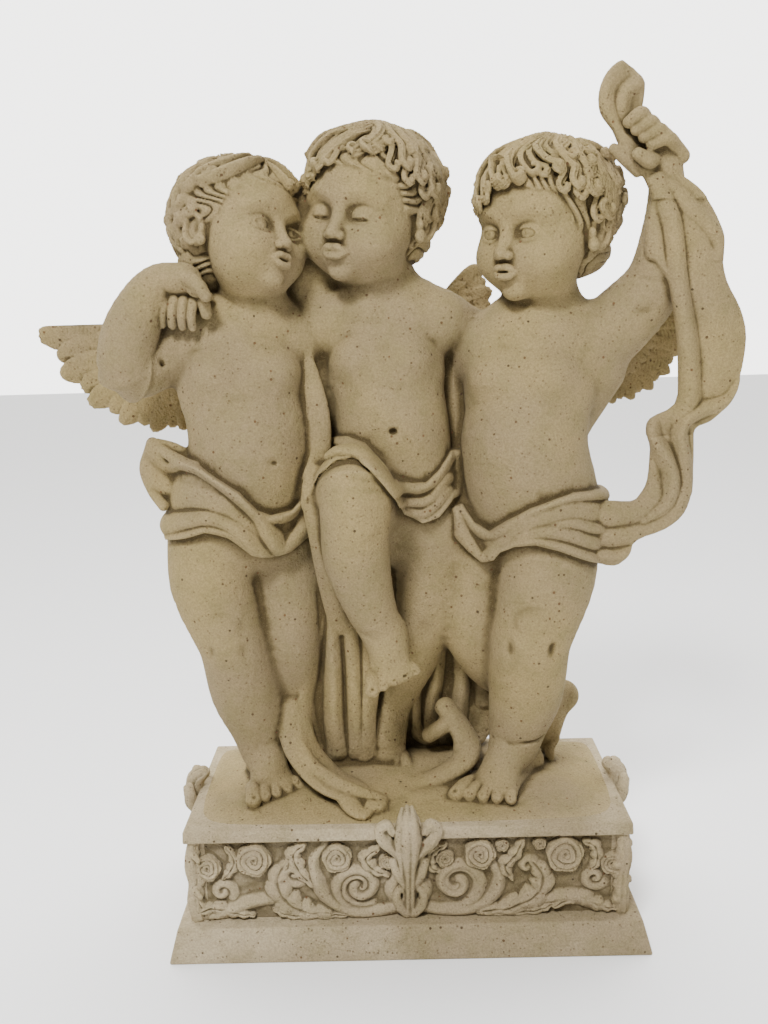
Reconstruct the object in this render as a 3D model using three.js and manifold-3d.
// Cherub garden statue: three winged cherubs cast in one piece with their drapery and the ground they
// stand on, set on an oblong plinth with a frieze of roses and acanthus.
// Millimetres, +Z up, +X to the right of someone who faces the work, -Y towards them. The origin is
// under the middle of the plinth.
import * as THREE from 'three';
import { mergeVertices } from 'three/addons/utils/BufferGeometryUtils.js';
import Module from 'manifold-3d';

const wasm = await Module();
wasm.setup();

// Plinth
const SLAB_LENGTH = 360;
const SLAB_DEPTH = 166;
const SLAB_THICK = 10.5;
const PLINTH_HEIGHT = 107.7;
const FRIEZE_INSET = 8;
const FOOT_HEIGHT = 27;
const FOOT_TOP_OUT = 7;
const FOOT_BASE_OUT = 14;
const ROSE_RADIUS = 15;
const ROSE_DEPTH = 11;
const SCROLL_RADIUS = 22;
const STEM_RADIUS = 3.6;
const BRACKET_WIDTH = 40;
const BRACKET_OUT = 15;

// Figures
const GROUP_HEIGHT = 582;
const BED_GAP = 0.3;
const GROUND_MARGIN = 3;
const MOUND_RISE = 20;

// The places below are written in millimetres over the slab for a group of this height.
const DRAWN_HEIGHT = 582;
const GROUP_SCALE = GROUP_HEIGHT / DRAWN_HEIGHT;

const FRONT = [0, -1, 0];
const UP = [0, 0, 1];
const TOE_HEIGHT = 11;

function vector(p) {
  return new THREE.Vector3(p[0], p[1], p[2]);
}

function solid(geometry) {
  geometry.deleteAttribute('normal');
  geometry.deleteAttribute('uv');
  const merged = mergeVertices(geometry, 1e-4);
  const mesh = new wasm.Mesh({
    numProp: 3,
    vertProperties: new Float32Array(merged.attributes.position.array),
    triVerts: new Uint32Array(merged.index.array),
  });
  return new wasm.Manifold(mesh);
}

function fuse(solids) {
  let round = solids;
  while (round.length > 1) {
    const next = [];
    for (let i = 0; i < round.length; i += 2) {
      next.push(i + 1 < round.length ? round[i].add(round[i + 1]) : round[i]);
    }
    round = next;
  }
  return round[0];
}

// The same body with no sealed hollow left inside it.
function filled(body) {
  return fuse(body.decompose().filter((shell) => shell.volume() > 0));
}

function toMesh(name, body, material) {
  const cut = body.getMesh();
  const geometry = new THREE.BufferGeometry();
  geometry.setAttribute('position', new THREE.BufferAttribute(cut.vertProperties, 3));
  geometry.setIndex(new THREE.BufferAttribute(cut.triVerts, 1));
  geometry.computeVertexNormals();
  const mesh = new THREE.Mesh(geometry, material);
  mesh.name = name;
  return mesh;
}

// A round-ended form through stations [x, y, z, half width, half thickness]; the half thickness lies
// along the front direction. The rows of a sphere are laid on the stations, its poles past the ends.
function limb(stations, sides = 8, front = FRONT, round = 0.55, matrix = null) {
  const swell = sides < 7 ? 1 : Math.sqrt(2 * Math.PI / sides / Math.sin(2 * Math.PI / sides));
  const shape = new THREE.SphereGeometry(1, sides, stations.length + 1);
  const points = shape.attributes.position;
  const centres = stations.map(vector);
  const last = stations.length - 1;
  for (let row = 0; row <= last + 2; row += 1) {
    const i = Math.min(Math.max(row - 1, 0), last);
    const along = centres[Math.min(i + 1, last)].clone().sub(centres[Math.max(i - 1, 0)]).normalize();
    const side = vector(front).cross(along).normalize();
    const face = along.clone().cross(side);
    const wide = stations[i][3] * swell;
    const thick = (stations[i][4] ?? stations[i][3]) * swell;
    for (let column = 0; column <= sides; column += 1) {
      const turn = (column % sides) / sides * 2 * Math.PI;
      const point = centres[i].clone();
      if (row === 0) point.addScaledVector(along, -round * Math.min(wide, thick));
      else if (row === last + 2) point.addScaledVector(along, round * Math.min(wide, thick));
      else {
        point.addScaledVector(side, -Math.cos(turn) * wide);
        point.addScaledVector(face, Math.sin(turn) * thick);
      }
      if (matrix) point.applyMatrix4(matrix);
      points.setXYZ(row * (sides + 1) + column, point.x, point.y, point.z);
    }
  }
  return solid(shape);
}

function ball(centre, radii, matrix = null, sides = 8, rows = 6) {
  const shape = new THREE.SphereGeometry(1, sides, rows);
  shape.rotateX(Math.PI / 2);
  shape.scale(radii[0], radii[1], radii[2]);
  shape.translate(centre[0], centre[1], centre[2]);
  if (matrix) shape.applyMatrix4(matrix);
  return solid(shape);
}

// Placing for a form that is drawn facing the viewer: turned to the viewer's right by yaw, tipped up
// by pitch, with its top leaning to the viewer's right by roll.
function placed(centre, yaw, pitch = 0, roll = 0, size = 1) {
  const turn = THREE.MathUtils.degToRad;
  return new THREE.Matrix4().makeTranslation(centre[0], centre[1], centre[2])
    .multiply(new THREE.Matrix4().makeRotationZ(turn(yaw)))
    .multiply(new THREE.Matrix4().makeRotationX(-turn(pitch)))
    .multiply(new THREE.Matrix4().makeRotationY(turn(roll)))
    .multiply(new THREE.Matrix4().makeScale(size, size, size));
}

function mix(a, b, t) {
  return a.map((value, i) => value + (b[i] - value) * t);
}

// Head, drawn facing the viewer about the middle of the skull, 124 mm from chin to crown. Each mass is
// an ellipsoid, [centre, radii]. The head's surface is the furthest that any of them reaches from the
// middle, so one sphere carries them all, with its rows packed closest round the nose.
const SKULL = [[0, 6, 12], [45, 50, 43]];
const FACE = [
  [[0, -12, -14], [42, 36, 40]],
  [[0, -33, -45], [15, 13, 12]],
  [[0, -10, -42], [31, 27, 18]],
  [[0, -47, -27], [10, 6, 4]],
  [[0, -46, -34], [8, 6, 4]],
  [[0, -46, -11], [8, 11, 7]],
  [[0, -46, 0], [6, 6, 9]],
  ...[-1, 1].flatMap((side) => [
    [[side * 22, -24, -25], [20, 21, 19]],
    [[side * 17, -41, -2], [9, 6, 5]],
    [[side * 18, -40, 12], [13, 8, 5]],
  ]),
];
const NOSE_DROP = 0.2;
const HAIR_LIFT = 8;
const TUFT = 3.5;

function reach(direction, [centre, radii]) {
  let a = 0;
  let b = 0;
  let c = -1;
  for (let k = 0; k < 3; k += 1) {
    a += (direction[k] / radii[k]) ** 2;
    b += direction[k] * centre[k] / radii[k] ** 2;
    c += (centre[k] / radii[k]) ** 2;
  }
  const gap = b * b - a * c;
  return gap < 0 ? 0 : (b + Math.sqrt(gap)) / a;
}

function underHair([, y, z]) {
  const hairline = 0.28 + THREE.MathUtils.clamp((z - 0.25) / 0.35, 0, 1);
  const nape = -y > -0.35 ? -0.22 : -0.6;
  return -y < hairline && z > nape;
}

function headShell(matrix) {
  const sides = 14;
  const rows = 11;
  const shape = new THREE.SphereGeometry(1, sides, rows);
  const points = shape.attributes.position;
  for (let i = 0; i < points.count; i += 1) {
    const row = Math.floor(i / (sides + 1));
    const column = row % rows ? i % (sides + 1) % sides : 0;
    const polar = Math.PI * (row / rows) ** 1.25;
    const turn = column / sides * 2 * Math.PI;
    const direction = new THREE.Vector3(Math.sin(polar) * Math.cos(turn), -Math.cos(polar),
      Math.sin(polar) * Math.sin(turn)).applyAxisAngle(new THREE.Vector3(1, 0, 0), NOSE_DROP).toArray();
    let far = Math.max(reach(direction, SKULL), ...FACE.map((mass) => reach(direction, mass)));
    if (underHair(direction)) far = reach(direction, SKULL) + HAIR_LIFT + TUFT * Math.sin(2.6 * column + 1.9 * row);
    const point = vector(direction).multiplyScalar(far).applyMatrix4(matrix);
    points.setXYZ(i, point.x, point.y, point.z);
  }
  return solid(shape);
}

function head({ centre, yaw, pitch, roll, size }) {
  const m = placed(centre, yaw, pitch, roll, size);
  const ears = [-1, 1].map((side) => ball([side * 44, 3, -9], [5, 9, 13], m, 6, 4));
  return [headShell(m), ...ears];
}

// Foot: a sole with notched toes, and the heel and instep over it. The big toe is on the side that
// inner names. A foot that the cloth or the other leg hides has its toes closed together.
function foot({ ankle, heel, toes, width, inner, up = UP, closed = false }) {
  const run = vector(toes).sub(vector(heel));
  const length = run.length();
  run.normalize();
  const across = vector(up).cross(run).normalize().negate();
  const upright = across.clone().cross(run);
  const outline = [[-width * 0.26, 0], [-width * 0.42, 0.55]];
  for (let i = 0; i < 5; i += closed ? 2 : 1) {
    const near = -0.5 + 0.2 * i;
    const tip = 1 - 0.045 * (inner > 0 ? i : 4 - i);
    outline.push([width * (near + 0.04), tip - 0.03], [width * (near + 0.16), tip]);
    if (i < 4 && !closed) outline.push([width * (near + 0.2), 0.8]);
  }
  outline.push([width * 0.42, 0.55], [width * 0.26, 0]);
  const points = outline.map(([u, v]) => new THREE.Vector2(u, v * length));
  const sole = new THREE.ExtrudeGeometry(new THREE.Shape(points), { depth: TOE_HEIGHT, bevelEnabled: false });
  const base = vector(heel).addScaledVector(upright, -TOE_HEIGHT * 0.9);
  sole.applyMatrix4(new THREE.Matrix4().makeBasis(across, run, upright).setPosition(base));
  const ballOf = mix(heel, toes, 0.78);
  return [
    solid(sole),
    ball(heel, [14, 14, 13], null, 6, 4),
    limb([[...ankle, 17], [...mix(ankle, ballOf, 0.55), 16], [...mix(ankle, ballOf, 0.95), width * 0.38, 11]], 6, up, 0.4),
  ];
}

// Four fingers side by side, from the knuckles [first, last] to the tips [first, last].
function fingers({ knuckles, tips, thick }) {
  const parts = [];
  for (let i = 0; i < 4; i += 1) {
    const from = mix(knuckles[0], knuckles[1], i / 3);
    const to = mix(tips[0], tips[1], i / 3);
    parts.push(limb([[...from, thick], [...to, thick * 0.9]], 4, UP, 0.8));
  }
  return parts;
}

const WING_THICK = 5;
const WING_STEP = 3.2;
const WING_SWEEP = 12;

// Wing: layers of feathers that fan out from the root in the plane of the back, each a plate with a
// notched edge, one step nearer the front than the longer layer behind it. Bearings run from the
// viewer's right, up over the head.
function wing({ root, from, to, first, last, count, layers = 3 }) {
  const plates = [];
  for (let layer = 0; layer < layers; layer += 1) {
    const share = 1 - 0.29 * layer;
    const number = count - 2 * layer;
    const outline = [];
    for (let i = 0; i < number; i += 1) {
      for (const [step, length] of [[0.1, 0.88], [0.6, 1]]) {
        const t = (i + step) / number;
        const a = THREE.MathUtils.degToRad(from + (to - from) * t);
        const far = (first + (last - first) * t) * share * length;
        outline.push(new THREE.Vector2(Math.cos(a) * far, Math.sin(a) * far));
      }
    }
    outline.push(new THREE.Vector2(0, 0));
    const depth = WING_THICK + WING_STEP * layer;
    const plate = new THREE.ExtrudeGeometry(new THREE.Shape(outline), { depth, bevelEnabled: false });
    plate.rotateX(Math.PI / 2);
    const points = plate.attributes.position;
    for (let i = 0; i < points.count; i += 1) {
      const away = Math.hypot(points.getX(i), points.getZ(i)) / first;
      points.setY(i, points.getY(i) + WING_SWEEP * away);
    }
    plate.translate(root[0], root[1] + WING_THICK / 2 - 0.1 * layer, root[2]);
    plates.push(solid(plate));
  }
  plates.push(ball([root[0], root[1] - 2, root[2]], [17, 10, 16], null, 6, 4));
  return plates;
}

// Torso: elliptical stations from crotch to neck, with the buttocks behind.
function torso({ pelvis, belly, chest, shoulders, neck, head: top, yoke, yaw, girth }) {
  const turn = THREE.MathUtils.degToRad(yaw);
  const front = [Math.sin(turn), -Math.cos(turn), 0];
  const side = [Math.cos(turn), Math.sin(turn), 0];
  const g = girth;
  const low = [pelvis[0], pelvis[1], pelvis[2] - 30];
  const parts = [
    limb([
      [...low, 34 * g, 32 * g],
      [...pelvis, 52 * g, 43 * g],
      [...belly, 50 * g, 47 * g],
      [...mix(belly, chest, 0.55), 49 * g, 42 * g],
      [...chest, 52 * g, 40 * g],
      [...shoulders, 46 * g, 31 * g],
      [...neck, 28, 26],
      [...mix(neck, top, 0.35), 25, 25],
    ], 8, front, 0.5),
  ];
  const [right, left] = yoke;
  parts.push(limb([[...right, 21], [...mix(right, neck, 0.55), 25], [...mix(left, neck, 0.55), 25], [...left, 21]], 7, front, 0.4));
  for (const hand of [-1, 1]) {
    const seat = pelvis.map((value, k) => value - front[k] * 22 + side[k] * hand * 23 - UP[k] * 12);
    parts.push(ball(seat, [27 * g, 26 * g, 29 * g], null, 6, 4));
  }
  return parts;
}

const LEFT = {
  body: {
    pelvis: [-127, 0, 250], belly: [-118, -8, 297], chest: [-123, -2, 352], shoulders: [-120, 3, 386],
    neck: [-113, 3, 404], head: [-118, -3, 472], yoke: [[-160, 3, 386], [-80, 12, 382]], yaw: 12, girth: 1.02,
  },
  head: { centre: [-118, -3, 469], yaw: 44, pitch: 8, roll: 8, size: 0.94 },
  limbs: [
    [[-156, -3, 232, 36], [-156, -12, 188, 35], [-147, -18, 156, 30.5], [-140, -21, 134, 28],
      [-134, -10, 92, 29.5], [-127, -7, 62, 24], [-123, -6, 38, 19]],
    [[-98, 14, 222, 33], [-96, 8, 178, 30.5], [-95, -1, 134, 26], [-96, 18, 88, 26], [-97, 30, 36, 18]],
    [[-162, 2, 384, 26], [-186, -10, 374, 25.5], [-207, -25, 366, 24.5], [-203, -33, 392, 22],
      [-190, -35, 417, 17.5], [-178, -34, 430, 13.5], [-158, -37, 431, 11.5], [-141, -40, 425, 6]],
  ],
  hidden: [[[-82, 12, 380, 25], [-52, 40, 356, 20], [-12, 54, 338, 16]]],
  feet: [
    { ankle: [-123, -5, 40], heel: [-127, 16, 13], toes: [-106, -46, 9], width: 50, inner: 1 },
    { ankle: [-97, 29, 40], heel: [-97, 42, 13], toes: [-96, -10, 9], width: 38, inner: -1, closed: true },
  ],
  wings: [
    { root: [-150, 34, 384], from: 170, to: 248, first: 156, last: 80, count: 8, layers: 2 },
    { root: [-88, 40, 380], from: 58, to: -30, first: 52, last: 46, count: 5, layers: 1 },
  ],
};

const MIDDLE = {
  body: {
    pelvis: [-3, 12, 252], belly: [-3, 4, 303], chest: [-8, 8, 360], shoulders: [-6, 13, 396],
    neck: [-7, 15, 414], head: [-16, 8, 492], yoke: [[-50, 16, 396], [38, 14, 396]], yaw: -8, girth: 0.93,
  },
  head: { centre: [-17, 6, 488], yaw: -27, pitch: -14, roll: 7, size: 1 },
  limbs: [
    [[-30, 8, 232, 37], [-34, -28, 256, 34], [-33, -58, 268, 29], [-34, -58, 244, 27],
      [-34, -50, 212, 26], [-25, -42, 172, 20.5], [-13, -37, 142, 16]],
    [[26, 12, 232, 36], [25, 12, 188, 31], [19, 7, 147, 25], [10, 20, 110, 22.5], [-4, 25, 74, 17.5],
      [-14, 26, 46, 15]],
  ],
  hidden: [
    [[-48, 14, 392, 24], [-86, 36, 404, 20], [-128, 32, 412, 16], [-152, 6, 420, 13.5], [-160, -14, 422, 14]],
    [[38, 12, 394, 24], [60, 28, 384, 20.5], [68, 40, 366, 19], [92, 54, 346, 16]],
  ],
  hands: [{ knuckles: [[-173, -22, 424], [-153, -27, 419]], tips: [[-174, -32, 401], [-150, -35, 398]], thick: 5 }],
  feet: [
    { ankle: [-13, -35, 146], heel: [-15, -24, 132], toes: [-6, -62, 112], width: 42, inner: 1,
      up: [0, -0.86, 0.5] },
    { ankle: [-14, 26, 50], heel: [-14, 42, 26], toes: [-15, -8, 14], width: 37, inner: -1 },
  ],
  wings: [
    { root: [30, 42, 398], from: 50, to: -34, first: 58, last: 46, count: 6, layers: 2 },
    { root: [-44, 44, 396], from: 128, to: 214, first: 52, last: 46, count: 5, layers: 1 },
  ],
};

const RIGHT = {
  body: {
    pelvis: [112, 0, 238], belly: [103, -7, 288], chest: [108, 0, 344], shoulders: [114, 4, 380],
    neck: [121, 5, 398], head: [120, -2, 475], yoke: [[78, 6, 374], [156, 3, 376]], yaw: -24, girth: 1.03,
  },
  head: { centre: [119, -2, 471], yaw: -37, pitch: -3, roll: 2, size: 1.04 },
  limbs: [
    [[122, -4, 222, 43], [120, -9, 184, 41], [110, -21, 150, 35], [105, -25, 132, 33],
      [103, -16, 88, 31], [97, -13, 58, 25], [94, -11, 38, 21]],
    [[68, 14, 222, 33], [63, 10, 180, 29], [60, 0, 140, 26], [84, 20, 98, 25.5], [124, 34, 68, 18]],
    [[154, 3, 366, 29], [184, 0, 393, 27], [206, -5, 420, 23], [213, -9, 458, 18.5], [212, -13, 488, 14],
      [209, -17, 506, 14], [202, -20, 521, 14]],
  ],
  hidden: [
    [[78, 6, 372, 25], [52, 38, 352, 20], [16, 54, 336, 16]],
    [[144, 8, 312, 18], [160, 4, 352, 26]],
  ],
  hands: [{ knuckles: [[192, -22, 536], [211, -24, 519]], tips: [[178, -32, 533], [195, -33, 519]], thick: 5 }],
  feet: [
    { ankle: [94, -11, 40], heel: [108, 10, 13], toes: [56, -62, 9], width: 50, inner: 1 },
    { ankle: [128, 36, 62], heel: [144, 42, 60], toes: [118, 26, 10], width: 34, inner: -1,
      up: [-0.7, -0.6, 0.3], closed: true },
  ],
  wings: [
    { root: [166, 38, 380], from: 24, to: -72, first: 88, last: 58, count: 7, layers: 2 },
    { root: [84, 42, 376], from: 128, to: 214, first: 50, last: 46, count: 5, layers: 1 },
  ],
};

function figure({ body, head: top, limbs, hidden, hands = [], feet, wings }) {
  return [
    ...torso(body),
    ...head(top),
    ...limbs.map((stations) => limb(stations, 7)),
    ...hidden.map((stations) => limb(stations, 5)),
    ...hands.flatMap(fingers),
    ...feet.flatMap(foot),
    ...wings.flatMap(wing),
  ];
}

// Cloth round the hips, in rows from the top down. Each row is a fold line: its heights at the left
// side, front left, front, front right and right side, then how far it stands out from the hips.
const WRAPS = [
  {
    centre: [-130, 2], radii: [53, 44], yaw: 12, behind: [262, 226],
    rows: [
      [292, 285, 268, 246, 254, 2], [284, 276, 256, 236, 250, 10], [268, 266, 248, 226, 244, 5],
      [252, 256, 242, 219, 238, 12], [238, 246, 236, 216, 232, 6], [222, 232, 224, 214, 224, 13],
      [214, 222, 214, 208, 218, 4],
    ],
  },
  {
    centre: [0, 14], radii: [42, 38], yaw: -8, behind: [268, 216],
    rows: [
      [276, 270, 252, 256, 274, 2], [268, 260, 244, 248, 266, 9], [262, 252, 238, 242, 258, 4],
      [254, 244, 231, 236, 250, 11], [244, 236, 226, 230, 240, 3],
    ],
  },
  {
    centre: [115, 0], radii: [49, 43], yaw: -24, behind: [250, 206],
    rows: [
      [238, 228, 240, 252, 256, 3], [228, 218, 232, 247, 252, 12], [220, 211, 226, 240, 244, 6],
      [214, 205, 222, 232, 234, 12], [208, 200, 218, 220, 218, 6], [202, 195, 214, 206, 200, 13],
      [196, 190, 208, 200, 194, 3],
    ],
  },
];

function wrap({ centre, radii, yaw, behind, rows }) {
  const sides = 8;
  const shape = new THREE.SphereGeometry(1, sides, rows.length + 1);
  const points = shape.attributes.position;
  const start = THREE.MathUtils.degToRad(yaw);
  const spread = [-90, -45, 0, 45, 90];
  for (let row = 0; row <= rows.length + 1; row += 1) {
    const k = Math.min(Math.max(row - 1, 0), rows.length - 1);
    const line = rows[k];
    const share = k / (rows.length - 1);
    const rear = behind[0] + (behind[1] - behind[0]) * share;
    const pole = row === 0 || row === rows.length + 1;
    for (let column = 0; column <= sides; column += 1) {
      const bearing = ((column % sides) / sides * 360 + 180) % 360 - 180;
      const a = THREE.MathUtils.degToRad(bearing);
      let height = rear + (line[bearing < 0 ? 0 : 4] - rear) * Math.max(0, Math.cos(a) + 1);
      if (Math.abs(bearing) < 90) {
        const i = Math.min(Math.floor((bearing + 90) / 45), 3);
        height = line[i] + (line[i + 1] - line[i]) * (bearing - spread[i]) / 45;
      }
      const u = pole ? 0 : Math.sin(a) * (radii[0] + line[5]);
      const v = pole ? 0 : -Math.cos(a) * (radii[1] + line[5]);
      if (pole) height = (line[2] + rear) / 2;
      points.setXYZ(row * (sides + 1) + column,
        centre[0] + u * Math.cos(start) - v * Math.sin(start),
        centre[1] + u * Math.sin(start) + v * Math.cos(start), height);
    }
  }
  return solid(shape);
}

// Single rolled folds: each is a tube through its points, of one half thickness.
const FOLDS = [
  { half: 5, path: [[-70, -22, 372], [-61, -25, 330], [-62, -28, 290], [-68, -30, 262]] },
  { half: 5, path: [[-62, -24, 262], [-60, -62, 286], [-38, -86, 299], [-12, -70, 278], [6, -54, 256]] },
  { half: 6, path: [[-70, -2, 160], [-90, -14, 80], [-86, -28, 36], [-54, -38, 20], [-20, -50, 9]] },
  { half: 7, path: [[-36, -54, 5], [-20, -64, 5], [-12, -52, 7]] },
  { half: 6, path: [[44, 18, 170], [40, 12, 110], [22, 6, 56], [32, -4, 24], [56, -2, 30], [48, 4, 48]] },
  { half: 7, path: [[46, -12, 12], [10, -26, 7], [34, -38, 5]] },
];

// The cloth that the right cherub holds up: [x, y, z, half width, half thickness].
const FLYING = [
  [176, -15, 580, 5, 4], [175, -20, 554, 18, 7], [181, -21, 532, 12, 8], [191, -22, 513, 9, 9],
  [208, -21, 496, 16, 8], [229, -22, 464, 25, 7], [236, -24, 415, 22, 8], [248, -26, 380, 28, 7],
  [248, -26, 348, 27, 7], [230, -26, 318, 24, 9], [217, -25, 290, 19, 9], [217, -25, 260, 18, 8],
  [204, -26, 238, 23, 8], [182, -25, 224, 30, 9], [150, -22, 222, 30, 9],
];
const FLYING_FOLDS = [
  { half: 5, path: [[208, -27, 490], [226, -31, 420], [240, -33, 350], [226, -34, 312], [204, -30, 302]] },
  { half: 5, path: [[228, -30, 304], [222, -33, 266], [196, -33, 232], [166, -32, 224]] },
];

function drapery() {
  return [
    ...WRAPS.map(wrap),
    ...[...FOLDS, ...FLYING_FOLDS].map(({ half, path }) => limb(path.map((p) => [...p, half]), 4, UP, 0.8)),
    limb(FLYING, 6, FRONT, 0.5),
    limb([[190, -22, 504, 8, 5], [167, -25, 520, 4, 3]], 4),
    limb([[-164, -18, 276, 18, 8], [-188, -12, 290, 18, 7], [-203, -8, 300, 12, 4]], 5),
    limb([[-66, 26, 432, 14, 12], [-64, 22, 370, 17, 12], [-60, 16, 320, 14, 14], [-64, 10, 250, 18, 18]], 5),
    limb([[46, 30, 372, 14, 14], [47, 24, 310, 16, 14], [50, 20, 220, 18, 18]], 5),
    hangingCloth(),
  ];
}

// The cloth that hangs behind the legs: a sheet of even folds, wider at the ground.
function hangingCloth() {
  const left = -78;
  const right = 66;
  const pleats = 5;
  const outline = [];
  for (let i = 0; i <= pleats * 2; i += 1) {
    outline.push(new THREE.Vector2(left + (right - left) * i / (pleats * 2), 26 - (i % 2) * 9));
  }
  for (let i = pleats * 2; i >= 0; i -= 1) {
    outline.push(new THREE.Vector2(left + (right - left) * i / (pleats * 2), 44 + (i % 2) * 8));
  }
  return solid(new THREE.ExtrudeGeometry(new THREE.Shape(outline), { depth: 226, bevelEnabled: false }));
}

// Ground: a low mound over the slab, highest behind the middle.
function ground() {
  const length = SLAB_LENGTH - 2 * GROUND_MARGIN;
  const depth = SLAB_DEPTH - 2 * GROUND_MARGIN;
  const shape = new THREE.BoxGeometry(length, depth, 1, 6, 3, 1);
  const points = shape.attributes.position;
  for (let i = 0; i < points.count; i += 1) {
    const x = points.getX(i) / (length / 2);
    const y = points.getY(i) / (depth / 2);
    const rise = Math.cos(x * Math.PI / 2) ** 0.8 * Math.cos((y - 0.35) / 1.35 * Math.PI / 2);
    const top = 1.6 + MOUND_RISE * Math.max(0, rise) * (1 - Math.max(0, y) ** 6);
    points.setZ(i, points.getZ(i) > 0 ? top : 0);
  }
  return solid(shape);
}

function group() {
  const bed = PLINTH_HEIGHT + BED_GAP;
  const figures = fuse([LEFT, MIDDLE, RIGHT].flatMap(figure).concat(drapery()))
    .scale([GROUP_SCALE, GROUP_SCALE, GROUP_SCALE]);
  const above = solid(new THREE.BoxGeometry(4 * SLAB_LENGTH, 4 * SLAB_LENGTH, 4 * GROUP_HEIGHT)
    .translate(0, 0, 2 * GROUP_HEIGHT));
  return filled(figures.add(ground()).intersect(above)).translate([0, 0, bed]);
}

// Plinth faces: a relief is drawn with u to the right, w up and the depth towards the viewer, and is
// then turned to its side of the plinth.
function faceOf(bearing, distance) {
  return new THREE.Matrix4().makeRotationZ(THREE.MathUtils.degToRad(bearing))
    .multiply(new THREE.Matrix4().makeTranslation(0, -distance, 0));
}

function rose(u, w, size, face) {
  const d = ROSE_DEPTH * size;
  const r = ROSE_RADIUS * size;
  const profile = [[0, -3], [r, -3], [r * 0.9, d * 0.6], [r * 0.5, d * 0.55], [0, d]];
  const shape = new THREE.LatheGeometry(profile.map(([x, y]) => new THREE.Vector2(x, y)), 6);
  shape.rotateX(Math.PI / 2);
  shape.translate(u, 0, w);
  shape.applyMatrix4(face);
  return solid(shape);
}

function stem(points, face, sides = 4) {
  return limb(points.map(([u, w, half, thick]) => [u, -1, w, half, thick ?? half]), sides, FRONT, 0.8, face);
}

function spiral(u, w, hand, radius, turns, face) {
  const points = [];
  const steps = 6;
  for (let i = 0; i <= steps; i += 1) {
    const t = i / steps;
    const a = -Math.PI * 0.45 + hand * 2 * Math.PI * turns * t;
    const r = radius * (1 - 0.86 * t);
    points.push([u + Math.cos(a) * r, w + Math.sin(a) * r, STEM_RADIUS * (1 - 0.1 * t), STEM_RADIUS * 1.5]);
  }
  return stem(points, face);
}

// One side's carving, mirrored about its middle. A plain side keeps the roses and the long leaves.
function relief(bearing, distance, length, plain = false) {
  const face = faceOf(bearing, distance);
  const middle = (FOOT_HEIGHT + PLINTH_HEIGHT - SLAB_THICK) / 2;
  const half = length / 2;
  const low = FOOT_HEIGHT + 7;
  const parts = [];
  for (const hand of [-1, 1]) {
    const at = (share) => hand * share * half;
    if (half < SLAB_DEPTH / 2) {
      parts.push(rose(at(0.62), middle + 10, 0.95, face));
      parts.push(stem([[at(0.15), low, 5, 6], [at(0.5), low + 6, 8, 6], [at(0.9), low + 2, 4, 4]], face));
      continue;
    }
    parts.push(rose(at(0.66), middle + 15, 1.08, face));
    parts.push(rose(at(0.35), middle + 16, 1, face));
    parts.push(stem([[at(0.5), low + 2, 5, 6], [at(0.72), low + 5, 8, 6], [at(0.97), low - 3, 3, 4]], face));
    parts.push(stem([[at(0.2), low, 4, 6], [at(0.4), low, 7, 7], [at(0.53), low + 24, 7, 8],
      [at(0.49), low + 50, 3, 5]], face));
    if (plain) continue;
    parts.push(rose(at(0.86), middle + 9, 0.82, face));
    parts.push(spiral(at(0.27), middle - 6, hand, SCROLL_RADIUS, 1.2, face));
    parts.push(stem([[at(0.12), low + 32, 4, 6], [at(0.17), low + 42, 8, 6], [at(0.22), low + 54, 4, 5]], face));
  }
  return parts;
}

// A bracket of curled acanthus at the middle of a side, over the slab's edge.
function bracket(bearing, distance, rise) {
  const face = faceOf(bearing, distance);
  const top = PLINTH_HEIGHT;
  const w = BRACKET_WIDTH / 2;
  const out = -BRACKET_OUT;
  const parts = [
    limb([[0, -2, FOOT_HEIGHT + 4, w * 0.22, 5], [0, -5, top - 40, w * 0.42, 9],
      [0, out * 0.7, top - 12, w * 0.6, 9], [0, out * 0.6, top + rise, w * 0.45, 7]], 5, FRONT, 0.8, face),
  ];
  for (const hand of [-1, 1]) {
    parts.push(limb([[0, -5, top - 22, 5], [hand * w * 0.8, out * 0.55, top - 4, 5],
      [hand * w * 0.9, out * 0.9, top + rise * 0.6, 4]], 4, UP, 0.8, face));
  }
  return parts;
}

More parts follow.
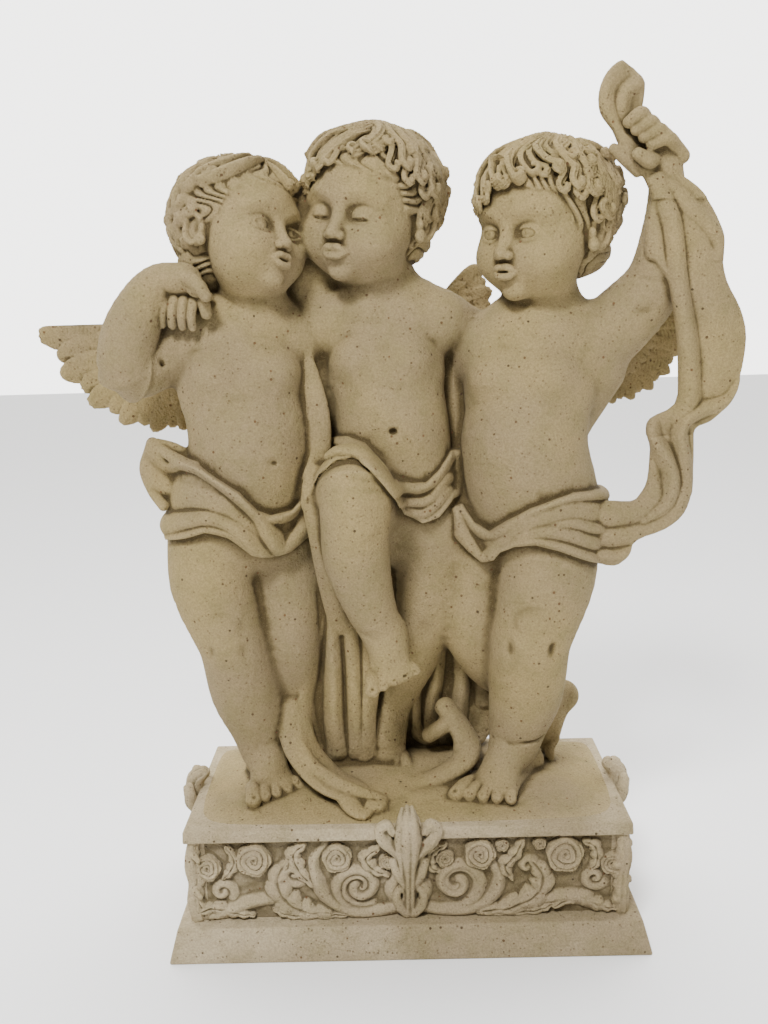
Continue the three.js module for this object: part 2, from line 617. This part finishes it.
function plinth() {
  const deck = PLINTH_HEIGHT - SLAB_THICK;
  const length = SLAB_LENGTH - 2 * FRIEZE_INSET;
  const depth = SLAB_DEPTH - 2 * FRIEZE_INSET;
  const slab = new THREE.BoxGeometry(SLAB_LENGTH, SLAB_DEPTH, SLAB_THICK);
  slab.translate(0, 0, deck + SLAB_THICK / 2);
  const block = new THREE.BoxGeometry(length, depth, deck);
  block.translate(0, 0, deck / 2 + 1);
  const base = new THREE.BoxGeometry(1, 1, FOOT_HEIGHT);
  const points = base.attributes.position;
  for (let i = 0; i < points.count; i += 1) {
    const out = points.getZ(i) > 0 ? FOOT_TOP_OUT : FOOT_BASE_OUT;
    points.setX(i, Math.sign(points.getX(i)) * (SLAB_LENGTH / 2 + out));
    points.setY(i, Math.sign(points.getY(i)) * (SLAB_DEPTH / 2 + out));
  }
  base.translate(0, 0, FOOT_HEIGHT / 2);
  const carving = [
    ...relief(0, depth / 2, length), ...relief(180, depth / 2, length, true),
    ...relief(90, length / 2, depth), ...relief(-90, length / 2, depth),
    ...bracket(0, depth / 2, 10), ...bracket(180, depth / 2, 6),
    ...bracket(90, length / 2, 16), ...bracket(-90, length / 2, 16),
  ];
  for (const [x, y] of [[-1, -1], [1, -1], [-1, 1], [1, 1]]) {
    carving.push(limb([[x * (length / 2 + 1), y * (depth / 2 + 1), FOOT_HEIGHT + 3, 9],
      [x * (length / 2 + 3), y * (depth / 2 + 3), FOOT_HEIGHT + 30, 7],
      [x * (length / 2 + 1), y * (depth / 2 + 1), deck - 6, 9]], 5));
  }
  return fuse([slab, block, base].map(solid).concat(carving));
}

const stone = new THREE.MeshStandardMaterial({ color: 0xb9a680, roughness: 0.92, metalness: 0 });
const paleStone = new THREE.MeshStandardMaterial({ color: 0xc4b08c, roughness: 0.94, metalness: 0 });

const figures = group();
const shifts = [[0, 0, -1], [-1, 0, 0], [1, 0, 0], [0, -1, 0], [0, 1, 0]];
const clear = fuse(shifts.map((shift) => figures.translate(shift.map((value) => value * BED_GAP))));
const statue = new THREE.Group();
statue.add(toMesh('cherub_group', figures, stone));
statue.add(toMesh('plinth', plinth().subtract(clear), paleStone));

export default statue;
